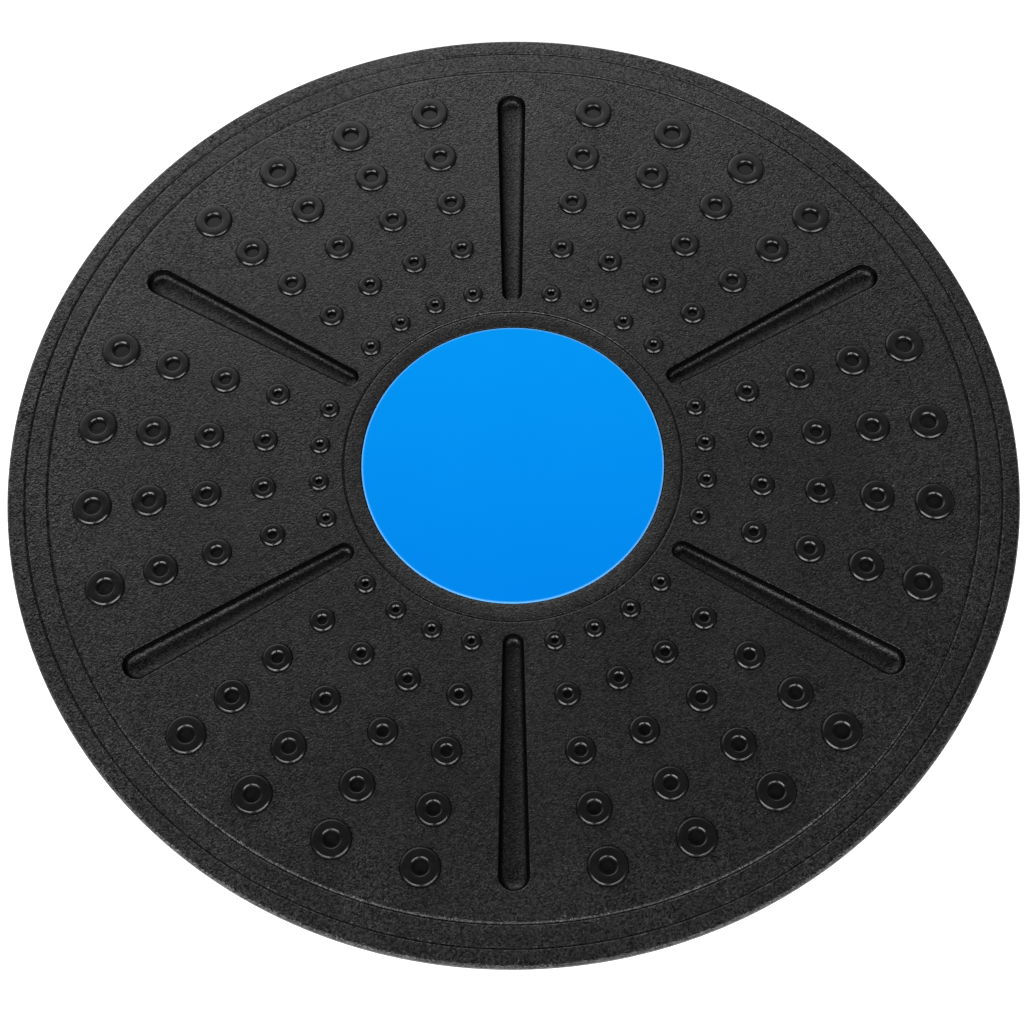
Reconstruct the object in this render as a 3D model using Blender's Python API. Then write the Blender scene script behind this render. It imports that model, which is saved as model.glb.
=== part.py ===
"""Rigid wobble board for balance training, as a bench assembly of ten moulded and fastened pieces.

A round deck with ring studs and radial grooves stands on a hollow dome with a non-slip pad.
Metres, +Z up. The origin is the centre of the pad's flat, on the floor, and +Y points along a groove.
"""

import math

import bmesh
import bpy
from mathutils import Vector

MM = 0.001
GAP = 0.3 * MM  # between pieces that touch

# Deck plate: its top is a shallow crown, measured along the axis from the floor.
DECK_RADIUS = 180 * MM
DECK_TOP = 74 * MM
DECK_THICKNESS = 4.5 * MM
CROWN_RADIUS = 5.5
EDGE_ROUND = 1.4 * MM
EDGE_WALL = 1.2 * MM
EDGE_UNDERCUT = 4 * MM

# Engraved circles, as V-shaped lines in the deck's top: a gentle slope inside, and a steep wall outside.
LINE_RADII = (60.3 * MM, 165.6 * MM, 173.7 * MM)
LINE_SLOPE = 0.9 * MM
LINE_WALL = 0.35 * MM
LINE_DEPTH = 0.7 * MM

# Raised pattern: rays of studs, with a groove in place of every fifth ray.
RAYS = 30
GROOVE_EVERY = 5
RING_RADII = (69.0 * MM, 88.7 * MM, 109.0 * MM, 129.4 * MM, 149.6 * MM)
PATTERN_INNER = 63 * MM
PATTERN_OUTER = 159 * MM
STUD_RADIUS_INNER = 3.4 * MM
STUD_RADIUS_OUTER = 6.8 * MM
STUD_SIDES = 8
STUD_HEIGHT = 1 * MM
STUD_DRAFT = 0.4 * MM
DIMPLE_RATIO = 0.47  # of the stud's radius
GROOVE_INNER_END = 64.6 * MM
GROOVE_OUTER_END = 154.6 * MM
GROOVE_HALF_WIDTH_INNER = 3.65 * MM
GROOVE_HALF_WIDTH_OUTER = 5.35 * MM
GROOVE_DEPTH = 3.8 * MM
GROOVE_WALL_INSET = 0.6 * MM  # of the steep wall's foot, at GROOVE_WALL_DEPTH
GROOVE_WALL_DEPTH = 2.4 * MM
GROOVE_FLOOR_INSET = 2.2 * MM

# Centre disc, set flush into a recess of the deck.
DISC_RADIUS = 53.75 * MM
DISC_THICKNESS = 2 * MM
DISC_CHAMFER = 0.3 * MM

# Underside of the deck: a skirt and a hub ring, radial ribs, and a trough under each groove.
SEAT_HEIGHT = 60 * MM  # the hub ring and the screw bosses end here, on the dome's flange
SKIRT_RADIUS = 171.5 * MM
SKIRT_DEPTH = 5 * MM
HUB_RADIUS = 81.5 * MM
WALL_ROOT = 3.2 * MM
WALL_TIP = 2.2 * MM
RIB_COUNT = 18
RIB_INNER = 62 * MM
RIB_OUTER = 169.6 * MM
RIB_THICKNESS = 2.2 * MM
RIB_STEP = 0.25 * MM
RIB_RISE_FROM = 93 * MM
TROUGH_INNER = 59 * MM
TROUGH_OUTER = 160 * MM
TROUGH_HALF_WIDTH_INNER = 6.2 * MM
TROUGH_HALF_WIDTH_OUTER = 8.2 * MM
TROUGH_DEPTH = 3 * MM
ROOT_OVERLAP = 0.4 * MM  # how far ribs, troughs and bosses run into the plate, short of the grooves
BOSS_RADIUS = 4.6 * MM

# Dome and pad: parts of spheres about one centre, so the board rocks at a constant height.
PAD_SPHERE = 85 * MM
PAD_FLAT_RADIUS = 18 * MM
PAD_RADIUS = 42 * MM
PAD_INSIDE_SPHERE = 82.8 * MM
PAD_FLOOR = 2.4 * MM
DOME_SPHERE = 84.5 * MM
DOME_SEAT_SPHERE = PAD_INSIDE_SPHERE - GAP
DOME_INSIDE_SPHERE = 80 * MM
DOME_FLOOR = 3.2 * MM
SPHERE_HEIGHT = math.sqrt(PAD_SPHERE**2 - PAD_FLAT_RADIUS**2)
FLANGE_RADIUS = 93 * MM
FLANGE_THICKNESS = 4 * MM
FLANGE_TOP = SEAT_HEIGHT - GAP
FLANGE_CHAMFER = 0.8 * MM

# Six pan-head screws hold the dome's flange to the deck's bosses.
SCREW_COUNT = 6
SCREW_CIRCLE = 86.8 * MM
SCREW_LENGTH = 12 * MM
SCREW_RADIUS = 1.9 * MM
SCREW_TIP_RADIUS = 0.8 * MM
SCREW_HEAD_RADIUS = 4 * MM
SCREW_HEAD_HEIGHT = 2.4 * MM
SCREW_DOMING = 0.8 * MM
RECESS_LENGTH = 4.4 * MM
RECESS_WIDTH = 1.1 * MM
RECESS_DEPTH = 1.4 * MM
POST_SIDES = 12  # facets round screws, bosses and their holes

AROUND = 2 * RAYS  # facets round every turned surface
QUARTER_TURN = math.pi / 2


def clear_scene():
    for item in list(bpy.data.objects):
        bpy.data.objects.remove(item)


def plastic(name, colour, roughness, metallic=0.0):
    """A Principled material with the piece's own colour and finish."""
    made = bpy.data.materials.new(name)
    made.use_nodes = True
    shader = made.node_tree.nodes["Principled BSDF"]
    shader.inputs["Base Color"].default_value = (*colour, 1.0)
    shader.inputs["Roughness"].default_value = roughness
    shader.inputs["Metallic"].default_value = metallic
    return made


def add_object(name, shape, material=None, sharp_angle=30):
    """The closed shape as an object, shaded smooth except at its sharp edges."""
    bmesh.ops.recalc_face_normals(shape, faces=shape.faces)
    mesh = bpy.data.meshes.new(name)
    shape.to_mesh(mesh)
    shape.free()
    mesh.shade_smooth()
    mesh.set_sharp_from_angle(angle=math.radians(sharp_angle))
    made = bpy.data.objects.new(name, mesh)
    bpy.context.collection.objects.link(made)
    if material:
        mesh.materials.append(material)
    return made


def add_helper(name, shape):
    """A shape that a Boolean adds or cuts, and that is no piece of its own."""
    made = add_object(name, shape)
    made.hide_render = True
    made.display_type = "WIRE"
    return made


def combine(target, helper, operation):
    modifier = target.modifiers.new(helper.name, "BOOLEAN")
    modifier.object = helper
    modifier.operation = operation
    modifier.solver = "EXACT"


def polar(radius, angle, height):
    return Vector((radius * math.cos(angle), radius * math.sin(angle), height))


def half_ray_angle(step):
    """Even steps are rays and odd steps lie between two rays. Step 0 is +Y."""
    return QUARTER_TURN + step * math.pi / RAYS


def round_loop(shape, centre, radius, sides, first_angle=0.0):
    """A level loop of vertices about a centre."""
    loop = []
    for side in range(sides):
        loop.append(shape.verts.new(centre + polar(radius, first_angle + side * 2 * math.pi / sides, 0)))
    return loop


def circle(shape, radius, height):
    """One turned ring of vertices about the axis, counted from +Y."""
    return round_loop(shape, Vector((0, 0, height)), radius, AROUND, QUARTER_TURN)


def bridge(shape, first, second):
    """A band of faces between two closed loops with the same number of vertices."""
    for start in range(len(first)):
        end = (start + 1) % len(first)
        shape.faces.new((first[start], first[end], second[end], second[start]))


def bridge_all(shape, loops):
    for first, second in zip(loops, loops[1:]):
        bridge(shape, first, second)


def fan(shape, loop, tip):
    """Triangles from a closed loop to one vertex."""
    for start in range(len(loop)):
        shape.faces.new((loop[start], loop[(start + 1) % len(loop)], tip))


def turned(profile):
    """A closed body turned from (radius, height) points, the first and last of which close with flat faces."""
    shape = bmesh.new()
    loops = [circle(shape, radius, height) for radius, height in profile]
    bridge_all(shape, loops)
    shape.faces.new(loops[0])
    shape.faces.new(loops[-1])
    return shape


def arc_profile(sphere_radius, from_radius, to_radius, steps):
    """(radius, height) points on a sphere about the dome's centre."""
    first = math.asin(from_radius / sphere_radius)
    last = math.asin(to_radius / sphere_radius)
    points = []
    for step in range(steps + 1):
        angle = first + (last - first) * step / steps
        points.append((sphere_radius * math.sin(angle), SPHERE_HEIGHT - sphere_radius * math.cos(angle)))
    return points


def sphere_radius_at(sphere_radius, height):
    """How far from the axis a sphere about the dome's centre is at this height."""
    return math.sqrt(sphere_radius**2 - (SPHERE_HEIGHT - height) ** 2)


def deck_height(radius):
    """Height of the deck's crowned top at this distance from the axis."""
    return DECK_TOP - radius**2 / (2 * CROWN_RADIUS)


def under_height(radius):
    return deck_height(radius) - DECK_THICKNESS


def stud_radius(ring):
    """Studs grow evenly from the innermost ring to the outermost."""
    share = ring / (len(RING_RADII) - 1)
    return STUD_RADIUS_INNER + (STUD_RADIUS_OUTER - STUD_RADIUS_INNER) * share


def pattern_radii():
    """The pattern's radial steps: the edges of its cells at even places, the rings of studs at odd ones."""
    radii = [PATTERN_INNER]
    for ring, next_ring in zip(RING_RADII, RING_RADII[1:]):
        radii += [ring, (ring + next_ring) / 2]
    return radii + [RING_RADII[-1], PATTERN_OUTER]


def is_groove(ray):
    return ray % GROOVE_EVERY == 0


def pattern_grid(shape):
    """The vertices that the cells share, by (half ray step, radial step)."""
    radii = pattern_radii()
    last = len(radii) - 1
    grid = {}
    for step in range(AROUND):
        for place, radius in enumerate(radii):
            between_rays = step % 2 == 1
            cell_edge = place % 2 == 0 and not is_groove(step // 2)
            if between_rays or cell_edge or place in (0, last):
                grid[step, place] = shape.verts.new(polar(radius, half_ray_angle(step), deck_height(radius)))
    return grid


def add_stud(shape, grid, ray, ring):
    """A ring stud with a dimple, joined to the eight vertices of its cell."""
    here, left, right = 2 * ray, (2 * ray + 1) % AROUND, (2 * ray - 1) % AROUND
    low, middle, high = 2 * ring, 2 * ring + 1, 2 * ring + 2
    outline = [grid[here, high], grid[left, high], grid[left, middle], grid[left, low]]
    outline += [grid[here, low], grid[right, low], grid[right, middle], grid[right, high]]
    angle = half_ray_angle(here)
    radius = stud_radius(ring)
    base = deck_height(RING_RADII[ring])
    top = base + STUD_HEIGHT
    profile = [(radius, base), (radius - STUD_DRAFT, top), (radius * DIMPLE_RATIO, top)]
    loops = [outline]
    for size, height in profile:
        centre = polar(RING_RADII[ring], angle, height)
        loops.append(round_loop(shape, centre, size, STUD_SIDES, angle))
    bridge_all(shape, loops)
    mouth = loops[-1]
    fan(shape, mouth, shape.verts.new(polar(RING_RADII[ring], angle, base)))


def groove_loop(shape, angle, inset, depth):
    """The tapered groove's outline with round ends, drawn in by inset, in step with its cell's outline."""
    near_half = GROOVE_HALF_WIDTH_INNER - inset
    far_half = GROOVE_HALF_WIDTH_OUTER - inset
    near = GROOVE_INNER_END + GROOVE_HALF_WIDTH_INNER
    far = GROOVE_OUTER_END - GROOVE_HALF_WIDTH_OUTER
    straight = len(pattern_radii()) - 2
    eighth = math.sqrt(0.5)
    side = [(far + far_half * eighth, far_half * eighth)]
    for step in range(straight):
        share = step / (straight - 1)
        side.append((far + (near - far) * share, far_half + (near_half - far_half) * share))
    side.append((near - near_half * eighth, near_half * eighth))
    points = [(far + far_half, 0)] + side + [(near - near_half, 0)]
    points += [(radius, -across) for radius, across in reversed(side)]
    along = polar(1, angle, 0)
    sideways = polar(1, angle + QUARTER_TURN, 0)
    loop = []
    for radius, across in points:
        place = along * radius + sideways * across
        place.z = deck_height(radius) - depth
        loop.append(shape.verts.new(place))
    return loop


def add_groove(shape, grid, ray):
    """A groove sunk into one long cell that takes the place of a ray of studs."""
    here, left, right = 2 * ray, (2 * ray + 1) % AROUND, (2 * ray - 1) % AROUND
    last = len(pattern_radii()) - 1
    outline = [grid[here, last]] + [grid[left, place] for place in range(last, -1, -1)]
    outline += [grid[here, 0]] + [grid[right, place] for place in range(last + 1)]
    angle = half_ray_angle(here)
    mouth = groove_loop(shape, angle, 0, 0)
    wall_foot = groove_loop(shape, angle, GROOVE_WALL_INSET, GROOVE_WALL_DEPTH)
    floor = groove_loop(shape, angle, GROOVE_FLOOR_INSET, GROOVE_DEPTH)
    bridge_all(shape, [outline, mouth, wall_foot, floor])
    half = len(floor) // 2
    shape.faces.new((floor[0], floor[1], floor[-1]))
    for step in range(1, half - 1):
        shape.faces.new((floor[step], floor[step + 1], floor[-step - 1], floor[-step]))
    shape.faces.new((floor[half - 1], floor[half], floor[half + 1]))


def line_profile(radius):
    """A V-shaped engraved line, from its inner edge to its outer one."""
    inner = radius - LINE_SLOPE
    outer = radius + LINE_WALL
    return [
        (inner, deck_height(inner)),
        (radius, deck_height(radius) - LINE_DEPTH),
        (outer, deck_height(outer)),
    ]


def recess_profile():
    """The recess for the centre disc, from its floor to the deck's top."""
    radius = DISC_RADIUS + GAP
    floor = deck_height(radius) - DISC_THICKNESS - GAP
    return [(radius, floor), (radius, deck_height(radius))]


def edge_profile():
    """The deck's rim, over the rounded top edge and back in underneath."""
    shoulder = DECK_RADIUS - EDGE_ROUND
    top = deck_height(shoulder)
    half = EDGE_ROUND * (1 - math.sqrt(0.5))
    wall_foot = top - EDGE_ROUND - EDGE_WALL
    tucked = DECK_RADIUS - EDGE_UNDERCUT
    return [
        (shoulder, top),
        (DECK_RADIUS - half, top - half),
        (DECK_RADIUS, top - EDGE_ROUND),
        (DECK_RADIUS, wall_foot),
        (tucked, under_height(tucked)),
    ]


def ring_wall_profile(outer_radius, foot_height):
    """A ring-shaped wall under the plate, drafted, from its outer side to its inner one."""
    draft = (WALL_ROOT - WALL_TIP) / 2
    inner_radius = outer_radius - WALL_ROOT
    return [
        (outer_radius, under_height(outer_radius)),
        (outer_radius - draft, foot_height),
        (inner_radius + draft, foot_height),
        (inner_radius, under_height(inner_radius)),
    ]


def skirt_foot():
    return under_height(SKIRT_RADIUS) - SKIRT_DEPTH


def deck_plate():
    """The plate with its studs, grooves, lines, recess, skirt and hub ring, as one closed surface."""
    shape = bmesh.new()
    grid = pattern_grid(shape)
    last = len(pattern_radii()) - 1
    for ray in range(RAYS):
        if is_groove(ray):
            add_groove(shape, grid, ray)
            continue
        for ring in range(len(RING_RADII)):
            add_stud(shape, grid, ray, ring)
    inner = [circle(shape, *point) for point in recess_profile() + line_profile(LINE_RADII[0])]
    bridge_all(shape, inner + [[grid[step, 0] for step in range(AROUND)]])
    shape.faces.new(inner[0])
    outside = line_profile(LINE_RADII[1]) + line_profile(LINE_RADII[2]) + edge_profile()
    outside += ring_wall_profile(SKIRT_RADIUS, skirt_foot()) + ring_wall_profile(HUB_RADIUS, SEAT_HEIGHT)
    outer = [circle(shape, *point) for point in outside]
    bridge_all(shape, [[grid[step, last] for step in range(AROUND)]] + outer)
    fan(shape, outer[-1], shape.verts.new((0, 0, under_height(0))))
    return shape


def add_prism(shape, angle, side_view, half_widths):
    """A radial wall: (radius, height) corners, each with its own half width, closed on both sides."""
    along = polar(1, angle, 0)
    sideways = polar(1, angle + QUARTER_TURN, 0)
    faces = []
    for sign in (1, -1):
        face = []
        for (radius, height), half in zip(side_view, half_widths):
            place = along * radius + sideways * (sign * half)
            place.z = height
            face.append(shape.verts.new(place))
        faces.append(face)
    bridge(shape, *faces)
    shape.faces.new(faces[0])
    shape.faces.new(faces[1])


def trough_walls():
    """The plate's extra depth under each groove."""
    shape = bmesh.new()
    radii = (TROUGH_INNER, TROUGH_OUTER)
    top = [(radius, under_height(radius) + ROOT_OVERLAP) for radius in radii]
    foot = [(radius, under_height(radius) - TROUGH_DEPTH) for radius in reversed(radii)]
    near, far = TROUGH_HALF_WIDTH_INNER, TROUGH_HALF_WIDTH_OUTER
    draft = TROUGH_DEPTH / 3
    halves = (near, far, far - draft, near - draft)
    for ray in range(0, RAYS, GROOVE_EVERY):
        add_prism(shape, half_ray_angle(2 * ray), top + foot, halves)
    return shape


def radial_ribs(shape):
    """Ribs from inside the hub ring to the skirt, level over the flange and rising beyond it."""
    side_view = [
        (RIB_INNER, under_height(RIB_INNER) + ROOT_OVERLAP),
        (RIB_OUTER, under_height(RIB_OUTER) + ROOT_OVERLAP),
        (RIB_OUTER, skirt_foot() + RIB_STEP),
        (RIB_RISE_FROM, SEAT_HEIGHT + RIB_STEP),
        (RIB_INNER, SEAT_HEIGHT + RIB_STEP),
    ]
    halves = [RIB_THICKNESS / 2] * len(side_view)
    for rib in range(RIB_COUNT):
        add_prism(shape, QUARTER_TURN + rib * 2 * math.pi / RIB_COUNT, side_view, halves)


def screw_angles():
    """The screws sit midway between the grooves."""
    return [QUARTER_TURN + (number + 0.5) * 2 * math.pi / SCREW_COUNT for number in range(SCREW_COUNT)]


def add_post(shape, place, profile):
    """An upright closed round body at a place on the floor plan, through (radius, height) points."""
    loops = []
    for radius, height in profile:
        loops.append(round_loop(shape, place + Vector((0, 0, height)), radius, POST_SIDES))
    bridge_all(shape, loops)
    shape.faces.new(loops[0])
    shape.faces.new(loops[-1])


def ribs_and_bosses():
    shape = bmesh.new()
    radial_ribs(shape)
    top = under_height(SCREW_CIRCLE) + ROOT_OVERLAP
    for angle in screw_angles():
        add_post(shape, polar(SCREW_CIRCLE, angle, 0), [(BOSS_RADIUS, SEAT_HEIGHT), (BOSS_RADIUS, top)])
    return shape


def screw_holes(foot, top):
    """Clearance for the screws' shanks between these heights."""
    shape = bmesh.new()
    radius = SCREW_RADIUS + GAP
    for angle in screw_angles():
        add_post(shape, polar(SCREW_CIRCLE, angle, 0), [(radius, foot), (radius, top)])
    return shape


def screw_end():
    return FLANGE_TOP - FLANGE_THICKNESS - GAP + SCREW_LENGTH


def make_deck(material):
    deck = add_object("deck", deck_plate(), material)
    combine(deck, add_helper("groove_troughs", trough_walls()), "UNION")
    combine(deck, add_helper("ribs_and_bosses", ribs_and_bosses()), "UNION")
    pilot_holes = screw_holes(SEAT_HEIGHT - MM, screw_end() + GAP)
    combine(deck, add_helper("pilot_holes", pilot_holes), "DIFFERENCE")


def make_centre_disc(material):
    """A flat inlay with chamfered edges, level with the deck round it."""
    top = deck_height(DISC_RADIUS + GAP)
    foot = top - DISC_THICKNESS
    profile = [
        (DISC_RADIUS - DISC_CHAMFER, top),
        (DISC_RADIUS, top - DISC_CHAMFER),
        (DISC_RADIUS, foot),
    ]
    add_object("centre_disc", turned(profile), material)


def dome_outside():
    """From the flat under the pad, over the pad's seat and the dome, to the flange's top edge."""
    seat_floor = PAD_FLOOR + GAP
    flat_radius = sphere_radius_at(DOME_SEAT_SPHERE, seat_floor)
    flange_foot = FLANGE_TOP - FLANGE_THICKNESS
    seat_edge = PAD_RADIUS + GAP
    profile = arc_profile(DOME_SEAT_SPHERE, flat_radius, seat_edge, steps=2)
    profile += arc_profile(DOME_SPHERE, seat_edge, sphere_radius_at(DOME_SPHERE, flange_foot), steps=5)
    profile += [
        (FLANGE_RADIUS - FLANGE_CHAMFER, flange_foot),
        (FLANGE_RADIUS, flange_foot + FLANGE_CHAMFER),
        (FLANGE_RADIUS, FLANGE_TOP),
    ]
    return profile


def dome_inside():
    """From the flange's inner edge down the hollow to its flat floor."""
    floor = PAD_FLOOR + GAP + DOME_FLOOR
    mouth_radius = sphere_radius_at(DOME_INSIDE_SPHERE, FLANGE_TOP)
    floor_radius = sphere_radius_at(DOME_INSIDE_SPHERE, floor)
    return arc_profile(DOME_INSIDE_SPHERE, floor_radius, mouth_radius, steps=5)[::-1]


def make_dome_base(material):
    """The hollow dome with its flange, open towards the deck."""
    dome = add_object("dome_base", turned(dome_outside() + dome_inside()), material)
    holes = screw_holes(FLANGE_TOP - FLANGE_THICKNESS - MM, FLANGE_TOP + MM)
    combine(dome, add_helper("flange_holes", holes), "DIFFERENCE")


def make_foot_pad(material):
    """A soft cup on the dome's lowest part, with a small flat to stand on."""
    outside = [(PAD_FLAT_RADIUS, 0)] + arc_profile(PAD_SPHERE, PAD_FLAT_RADIUS, PAD_RADIUS, steps=4)[1:]
    inside_flat = sphere_radius_at(PAD_INSIDE_SPHERE, PAD_FLOOR)
    inside = arc_profile(PAD_INSIDE_SPHERE, inside_flat, PAD_RADIUS, steps=2)
    add_object("foot_pad", turned(outside + inside[::-1]), material)


def screw_body(place, foot):
    """A screw pointing up, from its head to its tip."""
    head_top = foot + SCREW_HEAD_HEIGHT
    profile = [
        (SCREW_HEAD_RADIUS - SCREW_DOMING, foot),
        (SCREW_HEAD_RADIUS, foot + SCREW_DOMING),
        (SCREW_HEAD_RADIUS, head_top),
        (SCREW_RADIUS, head_top),
        (SCREW_RADIUS, head_top + SCREW_LENGTH - 2 * SCREW_RADIUS),
        (SCREW_TIP_RADIUS, head_top + SCREW_LENGTH),
    ]
    shape = bmesh.new()
    add_post(shape, place, profile)
    return shape


def recess_slot(place, foot, angle):
    """One bar of the cross recess in a screw's head, as a cutter."""
    shape = bmesh.new()
    along = polar(RECESS_LENGTH / 2, angle, 0)
    sideways = polar(RECESS_WIDTH / 2, angle + QUARTER_TURN, 0)
    corners = (along + sideways, sideways - along, -along - sideways, along - sideways)
    loops = []
    for height in (foot - MM, foot + RECESS_DEPTH):
        loops.append([shape.verts.new(place + corner + Vector((0, 0, height))) for corner in corners])
    bridge_all(shape, loops)
    shape.faces.new(loops[0])
    shape.faces.new(loops[-1])
    return shape


def make_screws(material):
    """Six screws through the dome's flange, each with a cross recess in its head."""
    foot = FLANGE_TOP - FLANGE_THICKNESS - GAP - SCREW_HEAD_HEIGHT
    for number, angle in enumerate(screw_angles(), start=1):
        place = polar(SCREW_CIRCLE, angle, 0)
        screw = add_object(f"dome_screw_{number}", screw_body(place, foot), material)
        for bar in range(2):
            slot = recess_slot(place, foot, angle + bar * QUARTER_TURN)
            combine(screw, add_helper(f"recess_{number}_{bar + 1}", slot), "DIFFERENCE")


def main():
    clear_scene()
    black = (0.020, 0.020, 0.021)
    make_deck(plastic("black_grained_plastic", black, 0.45))
    make_centre_disc(plastic("blue_plastic", (0.001, 0.287, 0.913), 0.25))
    make_dome_base(plastic("black_plastic", black, 0.38))
    make_foot_pad(plastic("grey_rubber", (0.045, 0.045, 0.048), 0.8))
    make_screws(plastic("zinc_steel", (0.62, 0.62, 0.64), 0.35, metallic=1.0))


main()
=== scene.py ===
"""Looks of the wobble board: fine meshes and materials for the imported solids, a studio, a floor and a camera."""

import math

import bmesh
import bpy
from mathutils import Matrix, Vector


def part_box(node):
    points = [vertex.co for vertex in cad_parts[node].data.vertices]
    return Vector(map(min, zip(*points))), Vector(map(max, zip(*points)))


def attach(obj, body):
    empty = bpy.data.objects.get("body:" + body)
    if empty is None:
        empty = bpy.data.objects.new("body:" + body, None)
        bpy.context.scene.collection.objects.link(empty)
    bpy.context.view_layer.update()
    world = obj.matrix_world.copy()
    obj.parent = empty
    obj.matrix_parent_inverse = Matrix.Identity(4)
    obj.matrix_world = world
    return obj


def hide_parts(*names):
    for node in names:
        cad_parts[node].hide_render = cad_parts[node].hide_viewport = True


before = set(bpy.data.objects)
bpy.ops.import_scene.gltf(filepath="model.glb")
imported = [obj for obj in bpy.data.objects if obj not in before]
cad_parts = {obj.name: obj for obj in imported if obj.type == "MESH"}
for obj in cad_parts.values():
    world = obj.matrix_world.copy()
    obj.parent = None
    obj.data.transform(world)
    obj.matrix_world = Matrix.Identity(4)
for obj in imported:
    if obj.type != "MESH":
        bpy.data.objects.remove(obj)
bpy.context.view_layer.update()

MM = 0.001
QUARTER_TURN = math.pi / 2

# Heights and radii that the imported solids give
_, DECK_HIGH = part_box("deck")
DISC_LOW, DISC_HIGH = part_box("centre_disc")
DOME_LOW, DOME_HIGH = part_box("dome_base")
PAD_LOW, PAD_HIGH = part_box("foot_pad")
DECK_RADIUS = DECK_HIGH.y
DISC_RADIUS = DISC_HIGH.y
FLANGE_RADIUS = DOME_HIGH.y
FLANGE_TOP = DOME_HIGH.z
PAD_RADIUS = PAD_HIGH.y
GAP = 0.3 * MM

# Deck surface: a shallow crown that is level with the disc's top at the recess
CROWN_RADIUS = 5.5
DECK_TOP = DISC_HIGH.z + (DISC_RADIUS + GAP) ** 2 / (2 * CROWN_RADIUS)
DECK_THICKNESS = 4.5 * MM
EDGE_ROUND = 1.4 * MM
EDGE_WALL = 1.2 * MM
EDGE_FOOT_ROUND = 0.6 * MM
EDGE_UNDERCUT = 4 * MM
RECESS_LIP = 0.25 * MM

# Engraved circles: (radius, width of the gentle slope that leads down to the line from inside)
LINES = ((60.2 * MM, 0.4 * MM), (165.6 * MM, 0.8 * MM), (173.6 * MM, 0.3 * MM))
LINE_HALF_WIDTH = 0.45 * MM
LINE_DEPTH = 0.65 * MM
LINE_SLOPE_FALL = 0.2  # depth of that slope at the line, as a share of its width

# Rays of ring studs, with a groove in place of every fifth ray
RAYS = 30
GROOVE_EVERY = 5
RING_RADII = (69.0 * MM, 88.7 * MM, 109.0 * MM, 129.4 * MM, 149.6 * MM)
PATTERN_INNER = 63 * MM
PATTERN_OUTER = 159 * MM
SHADING_GUARD = 0.3 * MM  # width of a level strip that keeps an edge's smooth shading off the deck
ARC_STEPS = 4  # facets in half a ray's width, and between a ring of studs and its cell's edge
AROUND = 2 * RAYS * ARC_STEPS
STUD_RADIUS_INNER = 3.4 * MM
STUD_RADIUS_OUTER = 6.8 * MM
STUD_HEIGHT = 1.0 * MM
STUD_MOUTH_RATIO = 0.525  # radius of the hole's bevelled mouth, as a share of the stud's
STUD_BEVEL = 0.76 * MM  # at 45 degrees, outside and at the mouth
STUD_BEVEL_FOOT_ROUND = 0.25 * MM
STUD_BEVEL_TOP_ROUND = 0.35 * MM
STUD_HOLE_DEPTH = 0.75 * MM  # below the deck
STUD_FOOT_LINE = 0.3 * MM  # width of a sunk line round each stud's foot
STUD_FOOT_LINE_DEPTH = 0.24 * MM
GROOVE_INNER_END = 64.6 * MM
GROOVE_OUTER_END = 154.6 * MM
GROOVE_HALF_WIDTH_INNER = 3.65 * MM
GROOVE_HALF_WIDTH_OUTER = 5.35 * MM
GROOVE_DEPTH = 3.95 * MM
# Across a groove from outside its lip to its middle: (share of its half width, share of its depth).
# The wall is steepest under the lip, then eases into a rounded floor.
GROOVE_SECTION = (
    (-0.13, 0), (-0.06, 0), (-0.02, 0.006), (0.005, 0.04), (0.03, 0.14), (0.08, 0.32), (0.14, 0.50),
    (0.21, 0.66), (0.29, 0.775), (0.38, 0.86), (0.49, 0.92), (0.62, 0.96), (0.78, 0.987), (0.98, 1.0),
)

# Underside of the deck
SEAT_HEIGHT = FLANGE_TOP + GAP
SKIRT_RADIUS = 171.5 * MM
SKIRT_DEPTH = 5 * MM
HUB_RADIUS = 81.5 * MM
WALL_ROOT = 3.2 * MM
WALL_TIP = 2.2 * MM
WALL_ROUND = 0.5 * MM
RIB_COUNT = 18
RIB_INNER = 62 * MM
RIB_OUTER = 169.6 * MM
RIB_THICKNESS = 2.2 * MM
RIB_STEP = 0.25 * MM
TROUGH_INNER = 59 * MM
TROUGH_OUTER = 160 * MM
TROUGH_HALF_WIDTH_INNER = 6.2 * MM
TROUGH_HALF_WIDTH_OUTER = 8.2 * MM
TROUGH_DEPTH = 3 * MM
ROOT_OVERLAP = 0.4 * MM  # how far ribs, troughs and bosses reach up into the plate
BOSS_RADIUS = 4.6 * MM

# Dome, pad and screws: parts of spheres about one centre, and six pan heads under the flange
PAD_SPHERE = 85 * MM
PAD_FLAT_RADIUS = 18 * MM
SPHERE_HEIGHT = math.sqrt(PAD_SPHERE**2 - PAD_FLAT_RADIUS**2)
DOME_SPHERE = 84.5 * MM
DOME_SEAT_SPHERE = 82.5 * MM
DOME_INSIDE_SPHERE = 80 * MM
DOME_FLOOR = 3.2 * MM
FLANGE_THICKNESS = 4 * MM
FLANGE_FOOT_ROUND = 0.9 * MM
FLANGE_TOP_ROUND = 0.3 * MM
TREAD_COUNT = 4
TREAD_FIRST_RADIUS = 21.5 * MM
TREAD_PITCH = 5 * MM
TREAD_HALF_WIDTH = 0.9 * MM
TREAD_DEPTH = 0.8 * MM
SCREW_COUNT = 6
SCREW_HEAD_RADIUS = 4 * MM
SCREW_HEAD_HEIGHT = 2.4 * MM
SCREW_HEAD_DOME = 1.1 * MM
SCREW_HEAD_EDGE = 0.15 * MM
SCREW_SHANK_RADIUS = 1.9 * MM
SCREW_PITCH = 1.4 * MM
SCREW_SIDES = 48
TURNED_SIDES = 192
SHARP_ANGLE = 40  # degrees between faces, above which an edge is shaded sharp
SCREW_SHARP_ANGLE = 35

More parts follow.
